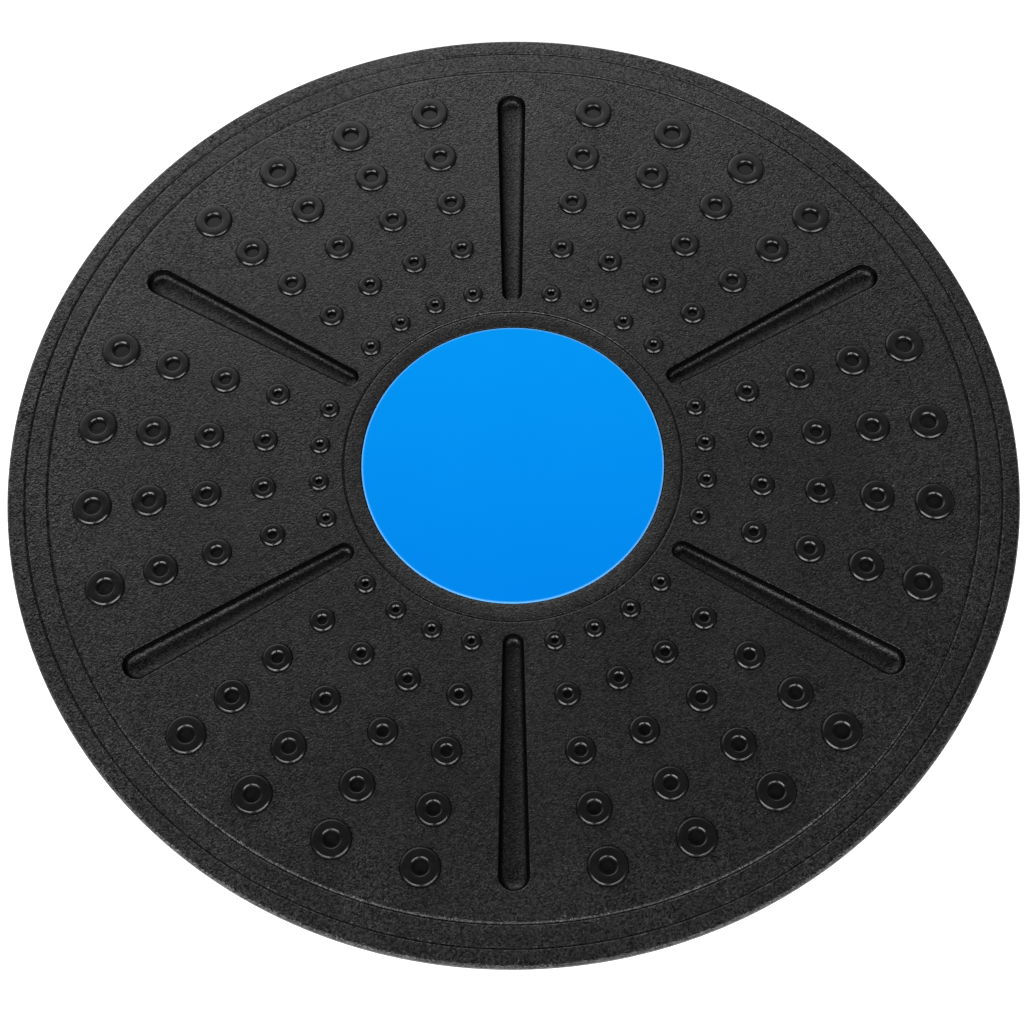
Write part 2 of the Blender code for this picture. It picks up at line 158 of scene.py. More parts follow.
# Looks: colours, the spark grain, the share of the deck's colour and shine left in the grooves as painted shade,
# the shine of studs and disc
BLACK = (0.006, 0.006, 0.0063)
GRAIN_SIZE = 0.6 * MM
GRAIN_HEIGHT = 0.22 * MM
# Painted shade in the grooves: share of the deck's colour and shine kept on the walls, and on the floors
GROOVE_WALL_LIT_SHARE = 0.15
GROOVE_FLOOR_LIT_SHARE = 0.72
STUD_SPECULAR = 0.43
DISC_SPECULAR = 0.03
# Blue of the disc: painted shade towards the front, painted light towards the back; a painted highlight on its
# edge
DISC_BLUE_SHADED_FRONT = (0.0, 0.217, 0.753, 1.0)
DISC_BLUE_LIT_BACK = (0.0, 0.2915, 0.864, 1.0)
DISC_EDGE_HIGHLIGHT_BLUE = (0.12, 0.42, 0.86, 1.0)
DUST = (0.16, 0.155, 0.15, 1.0)

# Material slots of the deck's mesh
GRAINED, SMOOTH, UNDERSIDE = range(3)

# Camera, solved from the outline of the board and its rings of studs
CAMERA_TURN = math.radians(1.096)
CAMERA_ELEVATION = math.radians(66.879)
CAMERA_ROLL = math.radians(-1.3685)
CAMERA_DISTANCE = 824.5 * MM
CAMERA_LENS = 82.29
CAMERA_SENSOR = 36  # width, in millimetres like the lens
CAMERA_AIM = Vector((-0.66 * MM, -18.99 * MM, 0))
AIM_RING = RING_RADII[2]  # the camera aims at the height of the deck at this ring

# Light: (azimuth, elevation, cosine of the angle at which it ends, strength) of the world's glows, and
# (name, azimuth, elevation, power) of the boxes in front of the board
WORLD_LEVEL = 0.02
GLOWS = ((-165, 28, 0.8, 1.8), (165, 28, 0.8, 0.68), (-140, 20, 0.8, 1.5), (100, 35, 0.8, 0.1))
BOXES = (("front_left_box", -35, 29, 48), ("front_right_box", 38, 29, 37.5))
BOX_DISTANCE = 2.2
BOX_SIZE = (1.9, 0.7)
FLOOR_HALF = 6.0  # half of the floor's side


class Surface:
    """Vertices and faces of one mesh, gathered loop by loop."""

    def __init__(self):
        self.points = []
        self.faces = []
        self.slots = []

    def loop(self, points):
        """Adds vertices and gives back their numbers."""
        first = len(self.points)
        self.points.extend(points)
        return list(range(first, len(self.points)))

    def face(self, corners, slot=0):
        self.faces.append(tuple(corners))
        self.slots.append(slot)

    def bridge(self, first, second, slot=0):
        """A band of faces between two closed loops of the same length."""
        count = len(first)
        for start in range(count):
            end = (start + 1) % count
            self.face((first[start], first[end], second[end], second[start]), slot)

    def bridge_all(self, loops, slot=0):
        for first, second in zip(loops, loops[1:]):
            self.bridge(first, second, slot)

    def fan(self, loop, tip, slot=0):
        """A cap of triangles from a closed loop to one point."""
        centre = self.loop([tip])[0]
        for start in range(len(loop)):
            self.face((loop[start], loop[(start + 1) % len(loop)], centre), slot)

    def closed_body(self, loops):
        """Bands between closed loops, and one flat face at either end."""
        self.bridge_all(loops)
        self.face(loops[0])
        self.face(loops[-1])

    def object(self, name, materials, sharp_angle=SHARP_ANGLE):
        mesh = bpy.data.meshes.new(name)
        mesh.from_pydata(self.points, [], self.faces)
        mesh.polygons.foreach_set("material_index", self.slots)
        for material in materials:
            mesh.materials.append(material)
        shape = bmesh.new()
        shape.from_mesh(mesh)
        bmesh.ops.recalc_face_normals(shape, faces=shape.faces)
        shape.to_mesh(mesh)
        shape.free()
        made = bpy.data.objects.new(name, mesh)
        bpy.context.scene.collection.objects.link(made)
        smooth_shade(mesh, sharp_angle)
        return made


def smooth_shade(mesh, sharp_angle):
    mesh.shade_smooth()
    mesh.set_sharp_from_angle(angle=math.radians(sharp_angle))


def polar(radius, angle, height=0.0):
    return Vector((radius * math.cos(angle), radius * math.sin(angle), height))


def around(centre, radius, height, sides, first_angle=QUARTER_TURN):
    """The points of a level circle about a centre."""
    base = centre + Vector((0, 0, height))
    return [base + polar(radius, first_angle + side * 2 * math.pi / sides) for side in range(sides)]


def ray_angle(ray):
    return QUARTER_TURN + ray * 2 * math.pi / RAYS


def deck_height(radius):
    """Height of the crown at this distance from the axis."""
    return DECK_TOP - radius**2 / (2 * CROWN_RADIUS)


def under_height(radius):
    """Height of the plate's underside."""
    return deck_height(radius) - DECK_THICKNESS


def rounded(corner, start_angle, end_angle, radius, steps):
    """(radius, height) points of a quarter round or less about a corner's centre, for turned profiles."""
    points = []
    for step in range(steps + 1):
        angle = math.radians(start_angle + (end_angle - start_angle) * step / steps)
        points.append((corner[0] + radius * math.cos(angle), corner[1] + radius * math.sin(angle)))
    return points


def pattern_radii():
    """Radial places of the pattern's mesh, from its inner edge to its outer one."""
    marks = [PATTERN_INNER]
    for ring, next_ring in zip(RING_RADII, RING_RADII[1:]):
        marks += [ring, (ring + next_ring) / 2]
    marks += [RING_RADII[-1], PATTERN_OUTER]
    radii = []
    for low, high in zip(marks, marks[1:]):
        radii += [low + (high - low) * step / ARC_STEPS for step in range(ARC_STEPS)]
    return radii + [PATTERN_OUTER]


def is_groove(ray):
    return ray % GROOVE_EVERY == 0


def pattern_grid(surface, radii):
    """Vertices on the edges of the pattern's cells, by (angular step, radial step)."""
    cell = 2 * ARC_STEPS
    last = len(radii) - 1
    grid = {}
    for step in range(AROUND):
        ray = round(step / cell) % RAYS
        for place, radius in enumerate(radii):
            on_side = step % cell == ARC_STEPS
            on_arc = place % cell == 0 and not is_groove(ray)
            if on_side or on_arc or place in (0, last):
                angle = QUARTER_TURN + step * 2 * math.pi / AROUND
                grid[step, place] = surface.loop([polar(radius, angle, deck_height(radius))])[0]
    return grid


def cell_outline(grid, ray, low, high):
    """The closed edge of a cell, counterclockwise from the middle of its outer side."""
    middle = ray * 2 * ARC_STEPS
    left, right = middle + ARC_STEPS, middle - ARC_STEPS
    keys = [(middle + step, high) for step in range(ARC_STEPS)]
    keys += [(left, place) for place in range(high, low, -1)]
    keys += [(left - step, low) for step in range(2 * ARC_STEPS)]
    keys += [(right, place) for place in range(low, high)]
    keys += [(right + step, high) for step in range(ARC_STEPS)]
    return [grid[step % AROUND, place] for step, place in keys]


def flank_profile(outer_radius):
    """(radius, height) points of a 45 degree flank with eased corners, from its foot up to the stud's top."""
    low, high = STUD_BEVEL_FOOT_ROUND, STUD_BEVEL_TOP_ROUND
    foot_height = STUD_HEIGHT - STUD_BEVEL
    points = [(outer_radius, foot_height)]
    points += rounded((outer_radius - low, foot_height + 0.4 * low), 0, 45, low, 3)
    return points + rounded((outer_radius - STUD_BEVEL, STUD_HEIGHT - high), 45, 90, high, 3)


def stud_profile(radius):
    """(radius, height above the deck) points of a ring stud, from its foot to the floor of its hole."""
    foot = [(radius + STUD_FOOT_LINE + SHADING_GUARD, 0), (radius + STUD_FOOT_LINE, 0)]
    foot += [(radius + 0.5 * STUD_FOOT_LINE, -STUD_FOOT_LINE_DEPTH), (radius, -STUD_FOOT_LINE_DEPTH)]
    flank = flank_profile(radius)
    mouth = radius * STUD_MOUTH_RATIO
    lip = [(mouth + (radius - STUD_BEVEL - r), height) for r, height in reversed(flank)]
    hole = mouth - STUD_BEVEL
    return foot + flank + lip + [(hole * 0.97, -STUD_HOLE_DEPTH), (hole * 0.5, -STUD_HOLE_DEPTH)]


def on_deck(centre, radius, height, sides, first_angle):
    """A circle about a centre on the deck, each point at this height above the crown."""
    points = around(centre, radius, 0, sides, first_angle)
    for point in points:
        point.z = deck_height(math.hypot(point.x, point.y)) + height
    return points


def add_stud(surface, outline, ray, ring):
    """A ring stud in the middle of its cell; studs grow evenly from the inner ring to the outer one."""
    angle = ray_angle(ray)
    share = ring / (len(RING_RADII) - 1)
    radius = STUD_RADIUS_INNER + (STUD_RADIUS_OUTER - STUD_RADIUS_INNER) * share
    centre = polar(RING_RADII[ring], angle)
    sides = len(outline)
    loops = [surface.loop(on_deck(centre, r, z, sides, angle)) for r, z in stud_profile(radius)]
    surface.bridge(outline, loops[0], GRAINED)
    surface.bridge(loops[0], loops[1], GRAINED)
    surface.bridge_all(loops[1:], SMOOTH)
    hole_floor = deck_height(RING_RADII[ring]) - STUD_HOLE_DEPTH
    surface.fan(loops[-1], polar(RING_RADII[ring], angle, hole_floor), SMOOTH)


def groove_points(angle, share, depth, end_steps, side_steps):
    """One loop of a groove, narrowed by a share of its width, counterclockwise from its outer tip."""
    near_half = GROOVE_HALF_WIDTH_INNER * (1 - share)
    far_half = GROOVE_HALF_WIDTH_OUTER * (1 - share)
    near = GROOVE_INNER_END + GROOVE_HALF_WIDTH_INNER
    far = GROOVE_OUTER_END - GROOVE_HALF_WIDTH_OUTER
    side = []
    for step in range(end_steps):
        turn = QUARTER_TURN * step / end_steps
        side.append((far + far_half * math.cos(turn), far_half * math.sin(turn)))
    for step in range(side_steps):
        along_side = step / side_steps
        side.append((far + (near - far) * along_side, far_half + (near_half - far_half) * along_side))
    for step in range(end_steps + 1):
        turn = QUARTER_TURN * (1 + step / end_steps)
        side.append((near + near_half * math.cos(turn), near_half * math.sin(turn)))
    outline = side + [(radius, -across) for radius, across in reversed(side[1:-1])]
    along = polar(1, angle)
    sideways = polar(1, angle + QUARTER_TURN)
    points = []
    for radius, across in outline:
        place = along * radius + sideways * across
        place.z = deck_height(radius) - depth
        points.append(place)
    return points


def add_groove(surface, outline, ray):
    """A U-shaped groove with round ends, sunk into one long cell."""
    angle = ray_angle(ray)
    end_steps = 2 * ARC_STEPS
    side_steps = len(outline) // 2 - 2 * end_steps
    loops = []
    for share, fraction in GROOVE_SECTION:
        points = groove_points(angle, share, fraction * GROOVE_DEPTH, end_steps, side_steps)
        loops.append(surface.loop(points))
    surface.bridge(outline, loops[0], GRAINED)
    surface.bridge_all(loops, GRAINED)
    floor = loops[-1]
    half = len(floor) // 2
    surface.face((floor[0], floor[1], floor[-1]), GRAINED)
    for step in range(1, half - 1):
        surface.face((floor[step], floor[step + 1], floor[-step - 1], floor[-step]), GRAINED)
    surface.face((floor[half - 1], floor[half], floor[half + 1]), GRAINED)


def line_profile(radius, slope):
    """An engraved V, with a gentle slope of this width inside it and a small bevel outside it."""
    half = LINE_HALF_WIDTH
    drop = LINE_SLOPE_FALL * slope
    inner = -slope - half
    outer = 1.3 * half
    section = [(inner - SHADING_GUARD, 0), (inner, 0), (inner + 0.2 * slope, -0.1 * drop), (-half, -drop)]
    section += [(-0.15 * half, -LINE_DEPTH), (0.15 * half, -LINE_DEPTH)]
    section += [(0.45 * half, -0.5 * LINE_DEPTH), (0.95 * half, -0.12 * LINE_DEPTH)]
    section += [(outer, 0), (outer + SHADING_GUARD, 0)]
    return [(radius + across, deck_height(radius + across) + height) for across, height in section]


def recess_profile():
    """The recess under the disc, from its floor out to the deck."""
    radius = DISC_RADIUS + GAP
    lip_centre = (radius + RECESS_LIP, deck_height(radius) - RECESS_LIP)
    return [(radius, DISC_LOW.z - GAP)] + rounded(lip_centre, 180, 90, RECESS_LIP, 3)


def edge_profile():
    """The rounded rim, from the deck's top over the edge and in underneath."""
    top = deck_height(DECK_RADIUS - EDGE_ROUND)
    wall_foot = top - EDGE_ROUND - EDGE_WALL
    tucked = DECK_RADIUS - EDGE_UNDERCUT
    profile = rounded((DECK_RADIUS - EDGE_ROUND, top - EDGE_ROUND), 90, 0, EDGE_ROUND, 6)
    profile += rounded((DECK_RADIUS - EDGE_FOOT_ROUND, wall_foot), 0, -60, EDGE_FOOT_ROUND, 3)
    return profile + [(tucked, under_height(tucked))]


def ring_wall_profile(outer_radius, foot_height):
    """A drafted ring-shaped wall under the plate, from its outer side to its inner one."""
    draft = (WALL_ROOT - WALL_TIP) / 2
    inner_radius = outer_radius - WALL_ROOT
    tip = WALL_ROUND
    outer_root, inner_root = under_height(outer_radius), under_height(inner_radius)
    profile = [(outer_radius + tip, outer_root), (outer_radius, outer_root - tip)]
    profile += rounded((outer_radius - draft - tip, foot_height + tip), 0, -90, tip, 3)
    profile += rounded((inner_radius + draft + tip, foot_height + tip), -90, -180, tip, 3)
    return profile + [(inner_radius, inner_root - tip), (inner_radius - tip, inner_root)]


def skirt_foot():
    """Height of the lower edge of the skirt."""
    return under_height(SKIRT_RADIUS) - SKIRT_DEPTH


def turned_loops(surface, profile, sides):
    """One loop about the axis for each (radius, height) point."""
    return [surface.loop(around(Vector(), radius, height, sides)) for radius, height in profile]


def deck_plate():
    """The plate with studs, grooves, lines, recess, skirt and hub ring, as one closed surface."""
    surface = Surface()
    radii = pattern_radii()
    grid = pattern_grid(surface, radii)
    last = len(radii) - 1
    cell = 2 * ARC_STEPS
    for ray in range(RAYS):
        if is_groove(ray):
            add_groove(surface, cell_outline(grid, ray, 0, last), ray)
            continue
        for ring in range(len(RING_RADII)):
            add_stud(surface, cell_outline(grid, ray, ring * cell, (ring + 1) * cell), ray, ring)
    inner = turned_loops(surface, recess_profile() + line_profile(*LINES[0]), AROUND)
    surface.bridge_all(inner + [[grid[step, 0] for step in range(AROUND)]], GRAINED)
    surface.fan(inner[0], Vector((0, 0, DISC_LOW.z - GAP)), UNDERSIDE)
    top = line_profile(*LINES[1]) + line_profile(*LINES[2]) + edge_profile()
    outer = turned_loops(surface, top, AROUND)
    surface.bridge_all([[grid[step, last] for step in range(AROUND)]] + outer, GRAINED)
    below = ring_wall_profile(SKIRT_RADIUS, skirt_foot()) + ring_wall_profile(HUB_RADIUS, SEAT_HEIGHT)
    under = turned_loops(surface, below, AROUND)
    surface.bridge_all([outer[-1]] + under, UNDERSIDE)
    surface.fan(under[-1], Vector((0, 0, under_height(0))), UNDERSIDE)
    return surface


def add_prism(surface, angle, side_view, half_widths):
    """A radial wall through (radius, height) corners, each with its own half width."""
    along = polar(1, angle)
    sideways = polar(1, angle + QUARTER_TURN)
    sides = []
    for sign in (1, -1):
        points = []
        for (radius, height), half in zip(side_view, half_widths):
            place = along * radius + sideways * (sign * half)
            place.z = height
            points.append(place)
        sides.append(surface.loop(points))
    surface.closed_body(sides)


def troughs():
    """Extra depth under each groove, with sloping sides."""
    surface = Surface()
    ends = (TROUGH_INNER, TROUGH_OUTER)
    top = [(radius, under_height(radius) + ROOT_OVERLAP) for radius in ends]
    foot = [(radius, under_height(radius) - TROUGH_DEPTH) for radius in reversed(ends)]
    near, far = TROUGH_HALF_WIDTH_INNER, TROUGH_HALF_WIDTH_OUTER
    draft = TROUGH_DEPTH / 3
    for ray in range(0, RAYS, GROOVE_EVERY):
        add_prism(surface, ray_angle(ray), top + foot, (near, far, far - draft, near - draft))
    return surface


def ribs_and_bosses():
    """Radial ribs from under the hub to the skirt, and a boss over each screw."""
    surface = Surface()
    side_view = [
        (RIB_INNER, under_height(RIB_INNER) + ROOT_OVERLAP),
        (RIB_OUTER, under_height(RIB_OUTER) + ROOT_OVERLAP),
        (RIB_OUTER, skirt_foot() + RIB_STEP),
        (FLANGE_RADIUS, SEAT_HEIGHT + RIB_STEP),
        (RIB_INNER, SEAT_HEIGHT + RIB_STEP),
    ]
    halves = [RIB_THICKNESS / 2] * len(side_view)
    for rib in range(RIB_COUNT):
        add_prism(surface, QUARTER_TURN + rib * 2 * math.pi / RIB_COUNT, side_view, halves)
    for place in screw_places():
        top = under_height(place.length) + ROOT_OVERLAP
        surface.closed_body([surface.loop(around(place, BOSS_RADIUS, z, 32)) for z in (SEAT_HEIGHT, top)])
    return surface


def screw_places():
    """Where each screw stands on the floor plan, from its own solid."""
    places = []
    for number in range(1, SCREW_COUNT + 1):
        low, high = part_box(f"dome_screw_{number}")
        middle = (low + high) / 2
        places.append(Vector((middle.x, middle.y, 0)))
    return places


def join(target, helper_surface, name, operation, materials):
    """Adds or cuts a closed shape, and keeps only the result."""
    helper = helper_surface.object(name, materials)
    modifier = target.modifiers.new(name, "BOOLEAN")
    modifier.object = helper
    modifier.operation = operation
    modifier.solver = "EXACT"
    evaluated = target.evaluated_get(bpy.context.evaluated_depsgraph_get())
    result = bpy.data.meshes.new_from_object(evaluated)
    target.modifiers.clear()
    target.data = result
    bpy.data.objects.remove(helper)


def stand_for(piece, slot, *nodes):
    """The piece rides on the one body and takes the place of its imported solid."""
    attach(piece, "root")
    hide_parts(*nodes)


# ---------------------------------------------------------------- materials

def add_node(tree, kind, inputs=None, **settings):
    """A shader node with its settings, and each input either linked or set."""
    made = tree.nodes.new(kind)
    for name, value in settings.items():
        setattr(made, name, value)
    for name, value in (inputs or {}).items():
        if isinstance(value, bpy.types.NodeSocket):
            tree.links.new(value, made.inputs[name])
        else:
            made.inputs[name].default_value = value
    return made


def ramp(tree, factor, low, high, to_low, to_high):
    """factor from low..high mapped onto to_low..to_high, and held at the ends."""
    inputs = {"Value": factor, "From Min": low, "From Max": high, "To Min": to_low, "To Max": to_high}
    return add_node(tree, "ShaderNodeMapRange", inputs, clamp=True).outputs["Result"]


def blend(tree, factor, first, second):
    """A mix of two colours, or of a colour and a socket."""
    mixed = add_node(tree, "ShaderNodeMix", data_type="RGBA")
    sockets = (mixed.inputs["Factor"], mixed.inputs[6], mixed.inputs[7])
    for socket, value in zip(sockets, (factor, first, second)):
        if isinstance(value, bpy.types.NodeSocket):
            tree.links.new(value, socket)
        else:
            socket.default_value = value
    return mixed.outputs[2]


def noise(tree, place, size, detail=2.0, roughness=0.5):
    """Noise whose features are about this size, in metres."""
    inputs = {"Vector": place, "Scale": 1 / size, "Detail": detail, "Roughness": roughness}
    return add_node(tree, "ShaderNodeTexNoise", inputs).outputs["Fac"]


def cells(tree, place, size):
    """Distance to the middle of the nearest cell, for cells of about this size."""
    inputs = {"Vector": place, "Scale": 1 / size}
    return add_node(tree, "ShaderNodeTexVoronoi", inputs).outputs["Distance"]


def maths(tree, operation, first, second):
    """One arithmetic node on two values or sockets."""
    made = add_node(tree, "ShaderNodeMath", operation=operation)
    for socket, value in zip(made.inputs, (first, second)):
        if isinstance(value, bpy.types.NodeSocket):
            tree.links.new(value, socket)
        else:
            socket.default_value = value
    return made.outputs[0]


def start_material(name):
    """An empty Principled material: (material, tree, shader, place in metres)."""
    material = bpy.data.materials.new(name)
    material.use_nodes = True
    tree = material.node_tree
    place = add_node(tree, "ShaderNodeTexCoord").outputs["Object"]
    return material, tree, tree.nodes["Principled BSDF"], place


def bump(tree, shader, height, distance):
    """Lets a height of 0 to 1 shade the surface as relief of this distance, in metres."""
    made = add_node(tree, "ShaderNodeBump", {"Height": height, "Distance": distance, "Strength": 1.0})
    tree.links.new(made.outputs["Normal"], shader.inputs["Normal"])


def from_axis(tree, place):
    """Distance from the board's axis."""
    split = add_node(tree, "ShaderNodeSeparateXYZ", {"Vector": place})
    squares = [maths(tree, "POWER", split.outputs[axis], 2.0) for axis in ("X", "Y")]
    return maths(tree, "SQRT", maths(tree, "ADD", *squares), 0.0)


def below_crown(tree, place):
    """Depth of a point below the deck's crown."""
    height = add_node(tree, "ShaderNodeSeparateXYZ", {"Vector": place}).outputs["Z"]
    fall = maths(tree, "MULTIPLY", maths(tree, "POWER", from_axis(tree, place), 2.0), 0.5 / CROWN_RADIUS)
    return maths(tree, "SUBTRACT", DECK_TOP, maths(tree, "ADD", height, fall))


def painted_grain_glints(tree, place, size):
    """A random value from 0 to 1 for each grain of about this size."""
    grains = add_node(tree, "ShaderNodeTexVoronoi", {"Vector": place, "Scale": 1 / size})
    return add_node(tree, "ShaderNodeSeparateXYZ", {"Vector": grains.outputs["Color"]}).outputs["X"]


def shades_of(colour, *factors):
    """The same colour, darkened or lightened by each factor, with full alpha."""
    return [[channel * factor for channel in colour] + [1.0] for factor in factors]


def painted_groove_shade(tree, place):
    """Painted shade in the grooves: 1 on the deck, and the shares of its colour and shine that are left on the
    grooves' walls and on their floors.
    """
    from_middle = from_axis(tree, place)
    inner_end, outer_end = GROOVE_INNER_END - 2 * MM, GROOVE_OUTER_END + 2.5 * MM
    past_disc = ramp(tree, from_middle, inner_end - 0.5 * MM, inner_end + 0.5 * MM, 0.0, 1.0)
    inside_lines = ramp(tree, from_middle, outer_end - 0.5 * MM, outer_end + 0.5 * MM, 1.0, 0.0)
    in_range = maths(tree, "MULTIPLY", past_disc, inside_lines)
    depth = maths(tree, "MULTIPLY", below_crown(tree, place), in_range)
    walls = ramp(tree, depth, 0.1 * MM, 0.4 * MM, 1.0, GROOVE_WALL_LIT_SHARE)
    floor_gain = GROOVE_FLOOR_LIT_SHARE - GROOVE_WALL_LIT_SHARE
    floors = ramp(tree, depth, 0.6 * GROOVE_DEPTH, 0.8 * GROOVE_DEPTH, 0.0, floor_gain)
    return maths(tree, "ADD", walls, floors)


def grained_plastic(name, shade, rough):
    """Black moulded plastic with a spark-eroded grain, stronger outwards, slight drift and dust specks, with the
    grain's glints and pit shade and the grooves' shade painted into its colour and shine.
    """
    material, tree, shader, place = start_material(name)
    patches = ramp(tree, noise(tree, place, 16 * MM), 0.3, 0.7, 0.85, 1.15)
    outwards = ramp(tree, from_axis(tree, place), 0.8 * RING_RADII[-1], DECK_RADIUS, 0.7, 1.1)
    strength = maths(tree, "MULTIPLY", patches, outwards)
    fine = noise(tree, place, GRAIN_SIZE, 2.0, 0.6)
    pebbles = cells(tree, place, GRAIN_SIZE * 1.3)
    height = maths(tree, "SUBTRACT", fine, maths(tree, "MULTIPLY", pebbles, 0.5))
    bump(tree, shader, maths(tree, "MULTIPLY", height, strength), GRAIN_HEIGHT)
    drift = ramp(tree, noise(tree, place, 45 * MM), 0.3, 0.7, 0.42, 0.58)
    # Painted shade: the grooves' walls, and less their floors, are darkened in colour and shine
    groove_painted_shade = painted_groove_shade(tree, place)
    # Each grain's random tone is a painted glint or painted pit shade, stronger outwards
    tone = maths(tree, "SUBTRACT", painted_grain_glints(tree, place, GRAIN_SIZE), 0.5)
    tone = maths(tree, "ADD", maths(tree, "MULTIPLY", tone, strength), drift)
    # Dark and light copies of the black: painted pit shade and painted glints
    dark, light = shades_of(shade, 0.1, 1.9)
    lightness = maths(tree, "MULTIPLY", ramp(tree, tone, -0.2, 1.2, 0.0, 1.0), groove_painted_shade)
    base = blend(tree, lightness, dark, light)
    dust = ramp(tree, cells(tree, place, 14 * MM), 0.018, 0.032, 0.5, 0.0)
    base = blend(tree, dust, base, DUST)
    tree.links.new(base, shader.inputs["Base Color"])
    shine = maths(tree, "MULTIPLY", ramp(tree, tone, -0.2, 1.2, 0.1, 0.9), groove_painted_shade)
    tree.links.new(shine, shader.inputs["Specular IOR Level"])
    mottled = noise(tree, place, 3 * MM, 3.0)
    tree.links.new(ramp(tree, mottled, 0.3, 0.7, rough - 0.03, rough + 0.04), shader.inputs["Roughness"])
    return material


def smooth_plastic(name, shade, rough):
    """The polished faces of the studs: the same plastic with only a fine ripple."""
    material, tree, shader, place = start_material(name)
    ripple = noise(tree, place, 1.6 * MM)
    bump(tree, shader, ripple, 0.02 * MM)
    dark, light = shades_of(shade, 0.85, 1.15)
    base = blend(tree, ramp(tree, noise(tree, place, 9 * MM), 0.3, 0.7, 0.0, 1.0), dark, light)
    tree.links.new(base, shader.inputs["Base Color"])
    rubbed = noise(tree, place, 3 * MM, 3.0)
    tree.links.new(ramp(tree, rubbed, 0.3, 0.7, rough - 0.05, rough + 0.06), shader.inputs["Roughness"])
    shader.inputs["Specular IOR Level"].default_value = STUD_SPECULAR
    return material


def satin_plastic(name, shade, rough):
    """The underside and the dome: fine satin moulding with faint flow marks and scuffs."""
    material, tree, shader, place = start_material(name)
    fine = noise(tree, place, 0.5 * MM, 2.0, 0.6)
    bump(tree, shader, fine, 0.03 * MM)
    drift = noise(tree, place, 30 * MM, 3.0)
    dark, light = shades_of(shade, 0.8, 1.3)
    base = blend(tree, ramp(tree, drift, 0.3, 0.7, 0.0, 1.0), dark, light)
    tree.links.new(base, shader.inputs["Base Color"])
    scuffs = noise(tree, place, 4 * MM, 4.0, 0.7)
    tree.links.new(ramp(tree, scuffs, 0.35, 0.7, rough - 0.05, rough + 0.1), shader.inputs["Roughness"])
    return material


def blue_plastic(name):
    """Bright blue inlay, very even, with painted shade making it darker towards the front, and a painted highlight
    as a paler line round its edge.
    """
    material, tree, shader, place = start_material(name)
    # Painted light: the blue is paler towards the back and darker towards the front
    across = add_node(tree, "ShaderNodeSeparateXYZ", {"Vector": place}).outputs["Y"]
    flow = maths(tree, "MULTIPLY", noise(tree, place, 35 * MM), 0.2)
    painted_light_fade = maths(tree, "ADD", ramp(tree, across, -DISC_RADIUS, DISC_RADIUS, -0.1, 0.9), flow)
    blue = blend(tree, painted_light_fade, DISC_BLUE_SHADED_FRONT, DISC_BLUE_LIT_BACK)
    # Painted highlight: a paler ring where the rounded edge catches the light
    edge = ramp(tree, from_axis(tree, place), DISC_RADIUS - 0.75 * MM, DISC_RADIUS - 0.35 * MM, 0.0, 1.0)
    base = blend(tree, edge, blue, DISC_EDGE_HIGHLIGHT_BLUE)
    tree.links.new(base, shader.inputs["Base Color"])
    bump(tree, shader, noise(tree, place, 2.5 * MM), 0.008 * MM)
    haze = noise(tree, place, 12 * MM, 3.0)
    tree.links.new(ramp(tree, haze, 0.3, 0.7, 0.30, 0.38), shader.inputs["Roughness"])
    shader.inputs["Specular IOR Level"].default_value = DISC_SPECULAR
    return material


def rubber(name):
    """Matt dark grey rubber, paler and duller where it is rubbed."""
    material, tree, shader, place = start_material(name)
    fine = noise(tree, place, 0.35 * MM, 3.0, 0.65)
    bump(tree, shader, fine, 0.05 * MM)
    wear = noise(tree, place, 10 * MM, 4.0, 0.6)
    clean, rubbed = (0.030, 0.030, 0.032, 1.0), (0.052, 0.051, 0.050, 1.0)
    base = blend(tree, ramp(tree, wear, 0.35, 0.7, 0.0, 1.0), clean, rubbed)
    tree.links.new(base, shader.inputs["Base Color"])
    tree.links.new(ramp(tree, wear, 0.3, 0.7, 0.78, 0.92), shader.inputs["Roughness"])
    return material


def zinc_steel(name):
    """Zinc-plated steel with a faint spangle."""
    material, tree, shader, place = start_material(name)
    spangle = cells(tree, place, 0.9 * MM)
    base = blend(tree, spangle, (0.50, 0.50, 0.52, 1.0), (0.66, 0.66, 0.67, 1.0))
    tree.links.new(base, shader.inputs["Base Color"])
    bump(tree, shader, noise(tree, place, 0.3 * MM, 3.0), 0.01 * MM)
    tarnish = noise(tree, place, 1.5 * MM, 3.0)
    tree.links.new(ramp(tree, tarnish, 0.3, 0.7, 0.25, 0.42), shader.inputs["Roughness"])
    shader.inputs["Metallic"].default_value = 1.0
    return material


# ---------------------------------------------------------------- the other pieces

def turned_object(name, profile, material, sides=TURNED_SIDES, sharp_angle=SHARP_ANGLE):
    """A closed body turned from (radius, height) points, whose first and last loops close on the axis."""
    surface = Surface()
    loops = turned_loops(surface, profile, sides)
    surface.bridge_all(loops)
    surface.fan(loops[0], Vector((0, 0, profile[0][1])))
    surface.fan(loops[-1], Vector((0, 0, profile[-1][1])))
    return surface.object(name, [material], sharp_angle)


def sphere_arc(sphere_radius, from_radius, to_radius, steps):
    """(radius, height) points on the lower half of a sphere about the common centre."""
    first = math.asin(from_radius / sphere_radius)
    last = math.asin(to_radius / sphere_radius)
    points = []
    for step in range(steps + 1):
        angle = first + (last - first) * step / steps
        points.append((sphere_radius * math.sin(angle), SPHERE_HEIGHT - sphere_radius * math.cos(angle)))
    return points


def radius_on_sphere(sphere_radius, height):
    """Distance from the axis at which such a sphere has this height."""
    return math.sqrt(sphere_radius**2 - (SPHERE_HEIGHT - height) ** 2)


